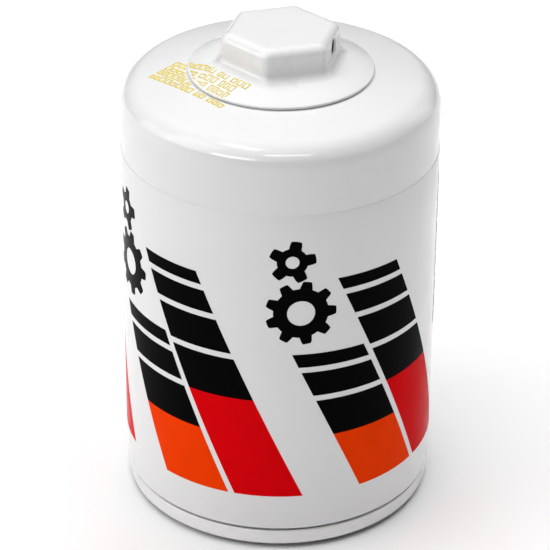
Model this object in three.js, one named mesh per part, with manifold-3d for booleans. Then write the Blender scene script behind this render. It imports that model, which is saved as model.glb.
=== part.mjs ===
// A spin-on oil filter, standing on its sealing gasket. Millimetres, +Z up.
// The origin is the centre of the gasket's sealing face, and the wrench nut is at the top.
// Oil enters through the ring of holes in the base plate, lifts the rubber drain-back valve,
// crosses the pleated media from outside to inside, and leaves through the threaded hub.
import * as THREE from 'three';
import { mergeVertices } from 'three/addons/utils/BufferGeometryUtils.js';
import Module from 'manifold-3d';

const wasm = await Module();
wasm.setup();

// ---------------------------------------------------------------- driving dimensions
const GAP = 0.3; // air left between two pieces that touch
const ROUND = 48; // facets round a large ring
const MEDIUM = 36; // facets round the filter element
const SMALL = 24; // facets round the bypass valve

const CAN_RADIUS = 38.1; // a three-inch can
const CAN_WALL = 0.5;
const CAN_TOP = 112.5; // apex of the shallow dome
const DOME_RADIUS = 197;
const SHOULDER_RADIUS = 6.36;

const SEAM_RADIUS = 37.57; // the lid's rolled edge
const SEAM_BOTTOM = 1.2;
const SEAM_TOP = 5.4;
const SHEET = 0.6; // the lid's sheet
const LID_TOP = 5.5;
const LID_OPENING = 26.5;
const RIDGE_RADIUS = 30.1; // folded ridge inside the gasket groove
const RIDGE_BOTTOM = 1.9;

const GASKET_HEIGHT = 4.6;
const GASKET_CHAMFER = 0.4;

const PLATE_THICKNESS = 3.2;
const PLATE_RADIUS = 36.9;
const BORE_RADIUS = 8.7; // 3/4-16 UNF thread, modelled at its minor diameter
const HUB_RADIUS = 11.6;
const HUB_TOP = 15.5;
const INLET_COUNT = 8;
const INLET_CIRCLE = 21;
const INLET_RADIUS = 3.4;

const HEX_ACROSS_FLATS = 25.4; // a one-inch wrench
const HEX_CORNER_ANGLE = 15.5; // degrees from +X to the first corner
const HEX_CORNER_RADIUS = 2.5;
const NUT_TOP = 122.1;
const NUT_WALL = 1.8;
const NUT_TOP_RADIUS = 2.3;
const NUT_FILLET = 2.6;
const FLANGE_RADIUS = 22;
const FLANGE_EDGE_TOP = 112.15;
const FLANGE_ROOT_TOP = 114.1;
const WIRE_HOLE_RADIUS = 1.9;
const WIRE_HOLE_Z = 118.7;

const ELEMENT_BOTTOM = 17.6;
const ELEMENT_TOP = 96;
const ELEMENT_RADIUS = 33.5;
const CAP_SHEET = 0.5;
const CAP_RIM = 4.4;
const TUBE_RADIUS = 14;
const TUBE_WALL = 0.5;
const POTTING = 1.2;
const PLEATS = 36;
const PLEAT_OUTER = 31.8;
const PLEAT_INNER = 14.6;
const PAPER = 0.5;

const SEAT_OPENING = 6.5;
const CAGE_RADIUS = 10.7;
const CAGE_BOTTOM = 78;
const CAGE_SHEET = 0.6;
const STEM_RADIUS = 1.8;
const POPPET_RADIUS = 8.6;
const POPPET_TOP = 94.2;

// ---------------------------------------------------------------- materials
function finish(colour, roughness, metalness) {
  return new THREE.MeshStandardMaterial({ color: colour, roughness, metalness });
}

const WHITE_PAINT = 0xf2f2f3;
const BARE_STEEL = 0xb9b6b2;
const ZINC_STEEL = 0xc4c2bb;
const TINPLATE = 0xc9c9c6;
const SPRING_STEEL = 0x8b8d90;
const NITRILE = 0x17171a;
const SILICONE = 0xb4552a;
const FILTER_PAPER = 0xd8bd86;
const PLASTISOL = 0xc23b2c;

// ---------------------------------------------------------------- shape helpers
const degrees = (angle) => THREE.MathUtils.degToRad(angle);

// A point at a radius from a centre, at an angle measured from straight up.
function fromUp(centreR, centreZ, radius, angle) {
  return [centreR + radius * Math.sin(angle), centreZ + radius * Math.cos(angle)];
}

// Points on an arc, ends included, in equal steps.
function arc(centreR, centreZ, radius, start, end, steps) {
  const points = [];
  for (let i = 0; i <= steps; i += 1) {
    points.push(fromUp(centreR, centreZ, radius, start + ((end - start) * i) / steps));
  }
  return points;
}

function signedArea(points) {
  let sum = 0;
  points.forEach(([r, z], i) => {
    const [nextR, nextZ] = points[(i + 1) % points.length];
    sum += r * nextZ - nextR * z;
  });
  return sum / 2;
}

// A solid of revolution about Z. The outline is [radius, z] points. It closes on itself,
// unless its two ends lie on the axis.
function turned(outline, facets) {
  const points = signedArea(outline) > 0 ? [...outline] : [...outline].reverse();
  const onAxis = points.findIndex(([r], i) => r === 0 && points.at(i - 1)[0] === 0);
  const ordered = onAxis < 0 ? points : [...points.slice(onAxis), ...points.slice(0, onAxis)];
  if (onAxis < 0) ordered.push(ordered[0]);
  const profile = ordered.map(([r, z]) => new THREE.Vector2(r, z));
  return new THREE.LatheGeometry(profile, facets).rotateX(Math.PI / 2);
}

// A ring with a rectangular section.
function flatRing(inner, outer, bottom, top, facets) {
  return turned([[inner, bottom], [outer, bottom], [outer, top], [inner, top]], facets);
}

function toSolid(geometry) {
  const bare = geometry.index ? geometry.clone() : geometry;
  bare.deleteAttribute('normal');
  bare.deleteAttribute('uv');
  const merged = mergeVertices(bare, 1e-4);
  const index = merged.index.array;
  const triangles = [];
  for (let i = 0; i < index.length; i += 3) {
    const [a, b, c] = [index[i], index[i + 1], index[i + 2]];
    if (a !== b && b !== c && c !== a) triangles.push(a, b, c);
  }
  const vertProperties = new Float32Array(merged.attributes.position.array);
  const triVerts = new Uint32Array(triangles);
  return new wasm.Manifold(new wasm.Mesh({ numProp: 3, vertProperties, triVerts }));
}

// The geometry with every cutter taken out of it.
function cut(geometry, cutters) {
  let solid = toSolid(geometry);
  for (const cutter of cutters) solid = solid.subtract(toSolid(cutter));
  const mesh = solid.getMesh();
  const result = new THREE.BufferGeometry();
  result.setAttribute('position', new THREE.BufferAttribute(mesh.vertProperties, 3));
  result.setIndex(new THREE.BufferAttribute(mesh.triVerts, 1));
  result.computeVertexNormals();
  return result;
}

// A drill along Z, or along the radius at an angle when tipped over.
function drill(radius, length, facets) {
  return new THREE.CylinderGeometry(radius, radius, length, facets).rotateX(Math.PI / 2);
}

function radialDrill(radius, length, facets, distance, angle, z) {
  const bit = new THREE.CylinderGeometry(radius, radius, length, facets).rotateZ(Math.PI / 2);
  return bit.translate(distance, 0, 0).rotateZ(angle).translate(0, 0, z);
}

class Helix extends THREE.Curve {
  constructor(radius, bottom, top, turns) {
    super();
    Object.assign(this, { radius, bottom, top, turns });
  }

  getPoint(t, target = new THREE.Vector3()) {
    const angle = t * this.turns * 2 * Math.PI;
    const z = this.bottom + t * (this.top - this.bottom);
    return target.set(this.radius * Math.cos(angle), this.radius * Math.sin(angle), z);
  }
}

// A coil spring: bottom and top are the heights of the wire's centre at its two ends.
function coil(radius, wireRadius, bottom, top, turns, stepsPerTurn, sides) {
  const section = new THREE.Shape();
  for (let i = 0; i < sides; i += 1) {
    const angle = (i * 2 * Math.PI) / sides;
    const [x, y] = [wireRadius * Math.cos(angle), wireRadius * Math.sin(angle)];
    if (i === 0) section.moveTo(x, y);
    else section.lineTo(x, y);
  }
  section.closePath();
  const extrudePath = new Helix(radius, bottom, top, turns);
  return new THREE.ExtrudeGeometry(section, { steps: turns * stepsPerTurn, extrudePath });
}

// ---------------------------------------------------------------- shell
// The can's crown: shallow dome and rounded shoulder, from the axis out to the wall.
function crown(inset) {
  const shoulderR = CAN_RADIUS - SHOULDER_RADIUS;
  const domeZ = CAN_TOP - DOME_RADIUS;
  const reach = DOME_RADIUS - SHOULDER_RADIUS;
  const shoulderZ = domeZ + Math.sqrt(reach ** 2 - shoulderR ** 2);
  const tangent = Math.asin(shoulderR / reach);
  const dome = arc(0, domeZ, DOME_RADIUS - inset, 0, tangent, 3);
  const shoulder = arc(shoulderR, shoulderZ, SHOULDER_RADIUS - inset, tangent, Math.PI / 2, 6);
  return [...dome, ...shoulder.slice(1)];
}

// Height of the dome's outer surface at a radius.
function domeHeight(radius) {
  return CAN_TOP - DOME_RADIUS + Math.sqrt(DOME_RADIUS ** 2 - radius ** 2);
}

const foldCentre = SEAM_RADIUS - SHEET - GAP - CAN_WALL / 2; // middle of the rolled seam
const foldRadius = SEAM_RADIUS - foldCentre;
const foldZ = SEAM_BOTTOM + foldRadius;
const grooveRadius = foldCentre - foldRadius; // outer wall of the gasket groove

// Deep-drawn can: dome, wall, a neck above the seam, and the edge held in the lid's fold.
function canister() {
  const neckTop = 7;
  const neckStep = CAN_RADIUS - foldCentre - CAN_WALL / 2;
  const edge = foldZ + GAP;
  const neck = (r) => [[r, neckTop], [r - 0.3 * neckStep, neckTop - 0.8],
    [r - 0.8 * neckStep, neckTop - 1.25], [r - neckStep, neckTop - 1.6], [r - neckStep, edge]];
  const outside = [...crown(0), ...neck(CAN_RADIUS)];
  const inside = [...crown(CAN_WALL), ...neck(CAN_RADIUS - CAN_WALL)];
  return turned([...outside, ...inside.reverse()], ROUND);
}

// Thin lid: gasket groove between the folded ridge and the fold that grips the can's edge.
function seamingLid() {
  const ridgeInner = RIDGE_RADIUS - 2 * SHEET;
  const underside = LID_TOP - SHEET;
  const corner = 0.3;
  return turned([
    [LID_OPENING, underside],
    [ridgeInner, underside],
    [ridgeInner, RIDGE_BOTTOM + corner],
    [ridgeInner + corner, RIDGE_BOTTOM],
    [RIDGE_RADIUS - corner, RIDGE_BOTTOM],
    [RIDGE_RADIUS, RIDGE_BOTTOM + corner],
    [RIDGE_RADIUS, underside],
    [grooveRadius, underside],
    ...arc(foldCentre, foldZ, foldRadius, 1.5 * Math.PI, 0.5 * Math.PI, 4),
    [SEAM_RADIUS, SEAM_TOP - corner],
    [SEAM_RADIUS - corner / 2, SEAM_TOP],
    [SEAM_RADIUS - SHEET, SEAM_TOP],
    ...arc(foldCentre, foldZ, foldRadius - SHEET, 0.5 * Math.PI, 1.5 * Math.PI, 2),
    [grooveRadius + SHEET, LID_TOP],
    [LID_OPENING, LID_TOP],
  ], ROUND);
}

function sealingGasket() {
  const inner = RIDGE_RADIUS + GAP;
  const outer = grooveRadius - GAP;
  return turned([
    [inner, GASKET_CHAMFER],
    [inner + GASKET_CHAMFER, 0],
    [outer - GASKET_CHAMFER, 0],
    [outer, GASKET_CHAMFER],
    [outer, GASKET_HEIGHT],
    [inner, GASKET_HEIGHT],
  ], ROUND);
}

const plateBottom = LID_TOP + GAP;
const plateTop = plateBottom + PLATE_THICKNESS;

// Thick plate that carries the thread, with a ring of inlet holes.
function basePlate() {
  const bevel = 1.4;
  const leadIn = 0.8;
  const blank = turned([
    [BORE_RADIUS + leadIn, plateBottom],
    [PLATE_RADIUS - bevel, plateBottom],
    [PLATE_RADIUS, plateBottom + bevel],
    [PLATE_RADIUS, plateTop],
    [HUB_RADIUS, plateTop],
    [HUB_RADIUS, HUB_TOP],
    [BORE_RADIUS, HUB_TOP],
    [BORE_RADIUS, plateBottom + leadIn],
  ], ROUND);
  const holes = [];
  for (let i = 0; i < INLET_COUNT; i += 1) {
    const angle = (i * 2 * Math.PI) / INLET_COUNT;
    const [x, y] = [INLET_CIRCLE * Math.cos(angle), INLET_CIRCLE * Math.sin(angle)];
    holes.push(drill(INLET_RADIUS, 4 * PLATE_THICKNESS, 12).translate(x, y, plateBottom));
  }
  return cut(blank, holes);
}

// Distance from the axis to a rounded hexagon, grown outwards by an offset.
// The angle is measured from a corner.
function hexReach(angle, offset) {
  const half = Math.PI / 6;
  const fromCorner = Math.abs(THREE.MathUtils.euclideanModulo(angle + half, 2 * half) - half);
  const centre = (HEX_ACROSS_FLATS / 2 - HEX_CORNER_RADIUS) / Math.cos(half);
  const radius = Math.max(HEX_CORNER_RADIUS + offset, 0);
  const roundEnd = Math.atan2(radius * Math.sin(half), centre + radius * Math.cos(half));
  if (fromCorner >= roundEnd) return (HEX_ACROSS_FLATS / 2 + offset) / Math.cos(half - fromCorner);
  const across = centre * Math.sin(fromCorner);
  return centre * Math.cos(fromCorner) + Math.sqrt(radius ** 2 - across ** 2);
}

// A closed skin through rings of [height, reach], from the pole at the first height
// to the pole at the last.
function skin(topPole, rings, bottomPole, facets) {
  const positions = [0, 0, topPole];
  for (const { z, reach } of rings) {
    for (let i = 0; i < facets; i += 1) {
      const angle = (i * 2 * Math.PI) / facets;
      positions.push(reach(angle) * Math.cos(angle), reach(angle) * Math.sin(angle), z);
    }
  }
  positions.push(0, 0, bottomPole);
  const last = 1 + rings.length * facets;
  const index = [];
  for (let i = 0; i < facets; i += 1) {
    const j = (i + 1) % facets;
    index.push(0, 1 + i, 1 + j);
    for (let ring = 0; ring + 1 < rings.length; ring += 1) {
      const upper = 1 + ring * facets;
      const lower = upper + facets;
      index.push(upper + i, lower + i, lower + j);
      index.push(upper + i, lower + j, upper + j);
    }
    index.push(last, last - facets + j, last - facets + i);
  }
  const geometry = new THREE.BufferGeometry();
  geometry.setAttribute('position', new THREE.Float32BufferAttribute(positions, 3));
  geometry.setIndex(index);
  geometry.computeVertexNormals();
  return geometry;
}

// Pressed hexagonal cap with a round flange, drilled across two faces for a lock wire.
function wrenchNut() {
  const hex = (z, offset) => ({ z, reach: (angle) => hexReach(angle, offset) });
  const circle = (z, radius) => ({ z, reach: () => radius });
  const quarter = [0, 30, 60, 90].map(degrees);
  const shoulderZ = NUT_TOP - NUT_TOP_RADIUS;
  const topEdge = quarter.map((a) => hex(
    shoulderZ + NUT_TOP_RADIUS * Math.cos(a),
    NUT_TOP_RADIUS * (Math.sin(a) - 1),
  ));
  const rootFillet = quarter.map((a) => hex(
    FLANGE_ROOT_TOP + NUT_FILLET * (1 - Math.sin(a)),
    NUT_FILLET * (1 - Math.cos(a)),
  ));
  const underside = (radius) => domeHeight(radius) + GAP;
  const rings = [
    ...topEdge,
    ...rootFillet,
    circle(FLANGE_EDGE_TOP, FLANGE_RADIUS),
    circle(underside(FLANGE_RADIUS), FLANGE_RADIUS),
    hex(underside(HEX_ACROSS_FLATS / 2), 1),
    hex(FLANGE_ROOT_TOP + 1.2, -NUT_WALL),
    hex(NUT_TOP - 1.6 * NUT_WALL, -NUT_WALL),
    hex(NUT_TOP - NUT_WALL, -1.6 * NUT_WALL),
  ];
  const blank = skin(NUT_TOP, rings, NUT_TOP - NUT_WALL, MEDIUM);
  const drillAngle = degrees(-30);
  const wireHole = radialDrill(WIRE_HOLE_RADIUS, 3 * HEX_ACROSS_FLATS, 12, 0, drillAngle, WIRE_HOLE_Z);
  return cut(blank, [wireHole]);
}

// ---------------------------------------------------------------- drain-back valve
const hubSeat = HUB_TOP + GAP;
const valveTop = ELEMENT_BOTTOM - GAP;
const valveHubRadius = 15.5;
const valveHubBottom = 13.3;

// Thick rubber ring that grips the threaded hub and carries the element.
function drainBackHub() {
  const inner = 10.2;
  return turned([
    [inner, hubSeat],
    [HUB_RADIUS + GAP, hubSeat],
    [HUB_RADIUS + GAP, valveHubBottom],
    [valveHubRadius, valveHubBottom],
    [valveHubRadius, valveTop],
    [inner, valveTop],
  ], MEDIUM);
}

// Thin rubber skirt that lies over the inlet holes and lifts when oil flows in.
function drainBackLip() {
  const inner = valveHubRadius + GAP;
  const outer = 27.2;
  const seat = plateTop + GAP;
  return turned([
    [inner, valveHubBottom],
    [outer - 1.6, seat],
    [outer, seat],
    [outer, seat + 0.9],
    [outer - 1.2, seat + 1.1],
    [inner, valveHubBottom + 1.2],
  ], MEDIUM);
}

// ---------------------------------------------------------------- filter element
const tubeInner = TUBE_RADIUS - TUBE_WALL;
const capLedgeBottom = ELEMENT_BOTTOM + CAP_SHEET;
const capLedgeTop = ELEMENT_TOP - CAP_SHEET;
const paperBottom = capLedgeBottom + POTTING + 2 * GAP;
const paperTop = capLedgeTop - POTTING - 2 * GAP;

// A shallow pressed cup with a turned-in collar; up is 1 for a cup that opens upwards.
function endCap(face, up, collarRadius) {
  const rim = face + up * CAP_RIM;
  const ledge = face + up * CAP_SHEET;
  return turned([
    [collarRadius, face],
    [ELEMENT_RADIUS, face],
    [ELEMENT_RADIUS, rim],
    [ELEMENT_RADIUS - CAP_SHEET, rim],
    [ELEMENT_RADIUS - CAP_SHEET, ledge],
    [collarRadius + CAP_SHEET, ledge],
    [collarRadius + CAP_SHEET, rim],
    [collarRadius, rim],
  ], MEDIUM);
}

function potting(bottom) {
  const outer = ELEMENT_RADIUS - CAP_SHEET - GAP;
  return flatRing(TUBE_RADIUS + GAP, outer, bottom, bottom + POTTING, MEDIUM);
}

// Steel tube with staggered rows of holes, which keeps the media from caving in.
function centerTube() {
  const blank = flatRing(tubeInner, TUBE_RADIUS, capLedgeBottom + GAP, capLedgeTop - GAP, SMALL);
  const rows = 6;
  const columns = 6;
  const pitch = (paperTop - paperBottom) / rows;
  const holes = [];
  for (let row = 0; row < rows; row += 1) {
    for (let column = 0; column < columns; column += 1) {
      const angle = ((column + (row % 2) / 2 + 0.25) * 2 * Math.PI) / columns;
      const z = paperBottom + (row + 0.5) * pitch;
      holes.push(radialDrill(2.4, 4, 8, TUBE_RADIUS, angle, z));
    }
  }
  return cut(blank, holes);
}

const outerFold = 0.8; // half the width of a fold at the rim
const innerGap = 0.35; // half the gap between two pleats at the tube

// Folded paper: a closed zigzag band, outline and hole in step.
function pleatedMedia() {
  const at = (radius, angle, side) => {
    const turn = angle + side / radius;
    return new THREE.Vector2(radius * Math.cos(turn), radius * Math.sin(turn));
  };
  const outline = [];
  const hole = [];
  for (let i = 0; i < PLEATS; i += 1) {
    const outward = (i * 2 * Math.PI) / PLEATS;
    const inward = outward + Math.PI / PLEATS;
    for (const side of [-1, 1]) {
      outline.push(at(PLEAT_OUTER, outward, side * outerFold));
      hole.push(at(PLEAT_OUTER - PAPER, outward, side * (outerFold - PAPER)));
    }
    for (const side of [-1, 1]) {
      outline.push(at(PLEAT_INNER + PAPER, inward, side * innerGap));
      hole.push(at(PLEAT_INNER, inward, side * (innerGap + PAPER)));
    }
  }
  const shape = new THREE.Shape(outline);
  shape.holes.push(new THREE.Path(hole));
  const depth = paperTop - paperBottom;
  const band = new THREE.ExtrudeGeometry(shape, { depth, bevelEnabled: false });
  return band.translate(0, 0, paperBottom);
}

// Folded metal strip that pinches the two ends of the paper together on one pleat.
function mediaSeamClip() {
  const strip = 0.3;
  const inside = outerFold + GAP + 0.15;
  const mouth = PLEAT_OUTER - 2.5;
  const back = PLEAT_OUTER + GAP;
  const shape = new THREE.Shape([
    [mouth, inside], [back, inside], [back, -inside], [mouth, -inside],
    [mouth, -inside - strip], [back + strip, -inside - strip],
    [back + strip, inside + strip], [mouth, inside + strip],
  ].map(([x, y]) => new THREE.Vector2(x, y)));
  const depth = paperTop - paperBottom - 2 * GAP;
  const clip = new THREE.ExtrudeGeometry(shape, { depth, bevelEnabled: false });
  return clip.translate(0, 0, paperBottom + GAP);
}

// ---------------------------------------------------------------- bypass valve
const poppetUnder = POPPET_TOP - 1;

// Cup pressed into the upper end cap, with windows, that holds the spring.
function bypassCage() {
  const floor = CAGE_BOTTOM + CAGE_SHEET;
  const guide = STEM_RADIUS + 0.2;
  const cup = turned([
    [guide, CAGE_BOTTOM],
    [CAGE_RADIUS, CAGE_BOTTOM],
    [CAGE_RADIUS, ELEMENT_TOP],
    [CAGE_RADIUS - CAGE_SHEET, ELEMENT_TOP],
    [CAGE_RADIUS - CAGE_SHEET, floor],
    [guide, floor],
  ], SMALL);
  const windowHeight = 8;
  const windows = [0, Math.PI / 2].map((turn) => {
    const slot = new THREE.BoxGeometry(3 * CAGE_RADIUS, 7, windowHeight);
    return slot.rotateZ(turn).translate(0, 0, floor + 2 + windowHeight / 2);
  });
  return cut(cup, windows);
}

function bypassPoppet() {
  const stemEnd = CAGE_BOTTOM - 1.5;
  return turned([
    [0, stemEnd],
    [STEM_RADIUS, stemEnd],
    [STEM_RADIUS, poppetUnder],
    [POPPET_RADIUS, poppetUnder],
    [POPPET_RADIUS, POPPET_TOP],
    [0, POPPET_TOP],
  ], SMALL);
}

function bypassSpring() {
  const wire = 0.5;
  const bottom = CAGE_BOTTOM + CAGE_SHEET + GAP + wire;
  const top = poppetUnder - GAP - wire;
  return coil(5.5, wire, bottom, top, 5, 14, 6);
}

function elementSpring() {
  const wire = 1;
  const radius = 20;
  const bottom = ELEMENT_TOP + GAP + wire;
  const top = domeHeight(radius + wire) - CAN_WALL - GAP - wire;
  return coil(radius, wire, bottom, top, 3, 20, 8);
}

// ---------------------------------------------------------------- assembly
function piece(name, geometry, material) {
  const mesh = new THREE.Mesh(geometry, material);
  mesh.name = name;
  return mesh;
}

function group(...members) {
  const result = new THREE.Group();
  result.add(...members);
  return result;
}

const nut = piece('wrench_nut', wrenchNut(), finish(WHITE_PAINT, 0.35, 0.1));
nut.rotation.z = degrees(HEX_CORNER_ANGLE);

const shell = group(
  piece('canister', canister(), finish(WHITE_PAINT, 0.35, 0.1)),
  nut,
  piece('seaming_lid', seamingLid(), finish(BARE_STEEL, 0.35, 0.9)),
  piece('base_plate', basePlate(), finish(BARE_STEEL, 0.45, 0.9)),
  piece('sealing_gasket', sealingGasket(), finish(NITRILE, 0.6, 0)),
);

const drainBackValve = group(
  piece('drain_back_hub', drainBackHub(), finish(SILICONE, 0.55, 0)),
  piece('drain_back_lip', drainBackLip(), finish(SILICONE, 0.55, 0)),
);

const element = group(
  piece('lower_end_cap', endCap(ELEMENT_BOTTOM, 1, 12.4), finish(TINPLATE, 0.3, 0.9)),
  piece('upper_end_cap', endCap(ELEMENT_TOP, -1, 11), finish(TINPLATE, 0.3, 0.9)),
  piece('lower_potting', potting(capLedgeBottom + GAP), finish(PLASTISOL, 0.5, 0)),
  piece('upper_potting', potting(paperTop + GAP), finish(PLASTISOL, 0.5, 0)),
  piece('center_tube', centerTube(), finish(ZINC_STEEL, 0.4, 0.9)),
  piece('pleated_media', pleatedMedia(), finish(FILTER_PAPER, 0.9, 0)),
  piece('media_seam_clip', mediaSeamClip(), finish(TINPLATE, 0.3, 0.9)),
);

const seatBottom = ELEMENT_TOP + GAP;
const bypassValve = group(
  piece(
    'bypass_seat',
    flatRing(SEAT_OPENING, 13.5, seatBottom, seatBottom + 0.8, SMALL),
    finish(ZINC_STEEL, 0.4, 0.9),
  ),
  piece('bypass_cage', bypassCage(), finish(ZINC_STEEL, 0.4, 0.9)),
  piece('bypass_poppet', bypassPoppet(), finish(ZINC_STEEL, 0.35, 0.9)),
  piece(
    'bypass_seal',
    flatRing(5.5, POPPET_RADIUS, POPPET_TOP + GAP, ELEMENT_TOP, SMALL),
    finish(NITRILE, 0.6, 0),
  ),
  piece('bypass_spring', bypassSpring(), finish(SPRING_STEEL, 0.3, 1)),
);

const oilFilter = group(
  shell,
  drainBackValve,
  element,
  bypassValve,
  piece('element_spring', elementSpring(), finish(SPRING_STEEL, 0.3, 1)),
);

export default oilFilter;
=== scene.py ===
import math
import random

import bmesh
import bpy
from mathutils import Matrix, Vector

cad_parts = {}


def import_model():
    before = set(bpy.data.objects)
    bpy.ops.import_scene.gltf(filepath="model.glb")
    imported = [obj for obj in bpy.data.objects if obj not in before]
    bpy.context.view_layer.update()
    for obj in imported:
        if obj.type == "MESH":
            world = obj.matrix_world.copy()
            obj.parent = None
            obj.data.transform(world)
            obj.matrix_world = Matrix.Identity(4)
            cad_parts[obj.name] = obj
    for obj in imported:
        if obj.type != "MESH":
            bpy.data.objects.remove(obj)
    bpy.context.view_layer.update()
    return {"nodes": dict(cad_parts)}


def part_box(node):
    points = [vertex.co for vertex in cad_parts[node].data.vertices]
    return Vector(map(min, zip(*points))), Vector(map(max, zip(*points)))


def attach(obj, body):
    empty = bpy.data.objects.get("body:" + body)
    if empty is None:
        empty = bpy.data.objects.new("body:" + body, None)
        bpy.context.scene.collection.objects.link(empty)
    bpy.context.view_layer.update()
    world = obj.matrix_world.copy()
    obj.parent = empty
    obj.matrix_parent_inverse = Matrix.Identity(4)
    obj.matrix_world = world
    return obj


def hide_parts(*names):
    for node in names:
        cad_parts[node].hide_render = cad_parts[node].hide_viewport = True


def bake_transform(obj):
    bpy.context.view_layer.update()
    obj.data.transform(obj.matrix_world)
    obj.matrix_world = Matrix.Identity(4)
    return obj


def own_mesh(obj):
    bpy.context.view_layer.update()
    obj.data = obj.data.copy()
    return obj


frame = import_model()

MM = 0.001
TURN = 2 * math.pi


def mm_box(node):
    """A CAD node's lowest and highest corners, in millimetres."""
    low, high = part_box(node)
    return [c / MM for c in low], [c / MM for c in high]


# ---------------------------------------------------------------- sizes, from the frame
CAN_RADIUS = mm_box("canister")[1][0]
CAN_TOP = mm_box("canister")[1][2]
SEAM_RADIUS = mm_box("seaming_lid")[1][0]
SEAM_BOTTOM = mm_box("seaming_lid")[0][2]
LID_TOP = mm_box("seaming_lid")[1][2]
NUT_TOP = mm_box("wrench_nut")[1][2]
GASKET_TOP = mm_box("sealing_gasket")[1][2]
GASKET_RADIUS = mm_box("sealing_gasket")[1][0]
PLATE_BOTTOM = mm_box("base_plate")[0][2]
PLATE_RADIUS = mm_box("base_plate")[1][0]
HUB_TOP = mm_box("base_plate")[1][2]
ELEMENT_BOTTOM = mm_box("lower_end_cap")[0][2]
ELEMENT_TOP = mm_box("upper_end_cap")[1][2]
ELEMENT_RADIUS = mm_box("upper_end_cap")[1][0]

# The rest are the object's own driving sizes.
GAP = 0.3
CAN_WALL = 0.5
DOME_RADIUS = 197
SHOULDER_RADIUS = 6.36
PRINT_TOP = 92.6  # where the printed coat ends below the shoulder
HEX_ACROSS_FLATS = 25.4
HEX_CORNER_ANGLE = math.radians(15.5)
HEX_CORNER_RADIUS = 2.5
NUT_WALL = 1.8
NUT_EDGE = 2.3
NUT_FILLET = 2.6
FLANGE_RADIUS = 22
FLANGE_EDGE_TOP = 112.15
FLANGE_ROOT_TOP = 114.1
WIRE_HOLE_RADIUS = 1.9
WIRE_HOLE_Z = 118.7
SHEET = 0.6
PLATE_THICKNESS = 3.2
BORE_RADIUS = 8.7
HUB_RADIUS = 11.6
THREAD_PITCH = 25.4 / 16
THREAD_DEPTH = 0.85
INLET_COUNT = 8
INLET_CIRCLE = 21
INLET_RADIUS = 3.4

# How fine the meshes are.
FINE = 192  # facets round a large ring
COARSE = 96  # facets round an inner ring
SHARP = 35  # degrees; an edge that turns more than this stays sharp
SOFT_SHARP = 50  # the same, for wire and folded paper


# ---------------------------------------------------------------- outlines
def arc(centre_r, centre_z, radius, start, end, steps):
    """Points on an arc, ends included; angles are in radians from straight up, outwards."""
    angles = [start + (end - start) * i / steps for i in range(steps + 1)]
    return [(centre_r + radius * math.sin(a), centre_z + radius * math.cos(a)) for a in angles]


def rounded(corners, steps=5):
    """A closed outline from corners: (r, z), or (r, z, radius) for a corner that is rounded."""
    points = []
    for i, corner in enumerate(corners):
        here = Vector(corner[:2])
        radius = corner[2] if len(corner) > 2 else 0
        if not radius:
            points.append(tuple(here))
            continue
        before = (Vector(corners[i - 1][:2]) - here).normalized()
        after = (Vector(corners[(i + 1) % len(corners)][:2]) - here).normalized()
        half = before.angle(after) / 2
        centre = here + (before + after).normalized() * radius / math.sin(half)
        first = here + before * radius / math.tan(half) - centre
        last = here + after * radius / math.tan(half) - centre
        sweep = math.atan2(first.x * last.y - first.y * last.x, first.dot(last))
        for k in range(steps + 1):
            points.append(tuple(centre + Matrix.Rotation(sweep * k / steps, 2) @ first))
    return points


def hex_reach(angle, offset):
    """Distance from the axis to the rounded hexagon, grown outwards by an offset."""
    half = math.pi / 6
    from_corner = abs((angle - HEX_CORNER_ANGLE + half) % (2 * half) - half)
    centre = (HEX_ACROSS_FLATS / 2 - HEX_CORNER_RADIUS) / math.cos(half)
    radius = max(HEX_CORNER_RADIUS + offset, 0)
    round_end = math.atan2(radius * math.sin(half), centre + radius * math.cos(half))
    if from_corner >= round_end:
        return (HEX_ACROSS_FLATS / 2 + offset) / math.cos(half - from_corner)
    across = centre * math.sin(from_corner)
    return centre * math.cos(from_corner) + math.sqrt(radius ** 2 - across ** 2)


def dome_height(radius):
    """Height of the can's dome at a radius."""
    return CAN_TOP - DOME_RADIUS + math.sqrt(DOME_RADIUS ** 2 - radius ** 2)


def flange_height(radius, angle=0.0):
    """Height of the nut's sloping flange, which falls from the fillet's foot to the rim."""
    foot = hex_reach(angle, NUT_FILLET)
    share = max(0.0, (radius - foot) / (FLANGE_RADIUS - foot))
    return FLANGE_ROOT_TOP + (FLANGE_EDGE_TOP - FLANGE_ROOT_TOP) * share


# ---------------------------------------------------------------- mesh helpers
def finish_mesh(name, bm, sharp=SHARP):
    """A smooth-shaded object from a bmesh, with edges kept sharp above an angle in degrees."""
    bmesh.ops.recalc_face_normals(bm, faces=bm.faces)
    mesh = bpy.data.meshes.new(name)
    bm.to_mesh(mesh)
    bm.free()
    mesh.shade_smooth()
    mesh.set_sharp_from_angle(angle=math.radians(sharp))
    obj = bpy.data.objects.new(name, mesh)
    bpy.context.collection.objects.link(obj)
    return obj


def bridge(bm, lower, upper):
    """Faces between two rings of vertices; a ring of one vertex is a pole."""
    count = max(len(lower), len(upper))
    for i in range(count if count > 1 else 0):
        j = (i + 1) % count
        corners = [lower[i % len(lower)], lower[j % len(lower)]]
        corners += [upper[j % len(upper)], upper[i % len(upper)]]
        bm.faces.new(list(dict.fromkeys(corners)))


def revolve(name, outline, segments=FINE):
    """A closed solid round Z. A radius may be a function of the angle, and 0 is a pole."""
    bm = bmesh.new()
    rings = []
    for reach, z in outline:
        ring = []
        for i in range(1 if reach == 0 else segments):
            angle = TURN * i / segments
            r = reach(angle) if callable(reach) else reach
            ring.append(bm.verts.new((r * math.cos(angle) * MM, r * math.sin(angle) * MM, z * MM)))
        rings.append(ring)
    for lower, upper in zip(rings, rings[1:] + rings[:1]):
        bridge(bm, lower, upper)
    return finish_mesh(name, bm)


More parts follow.
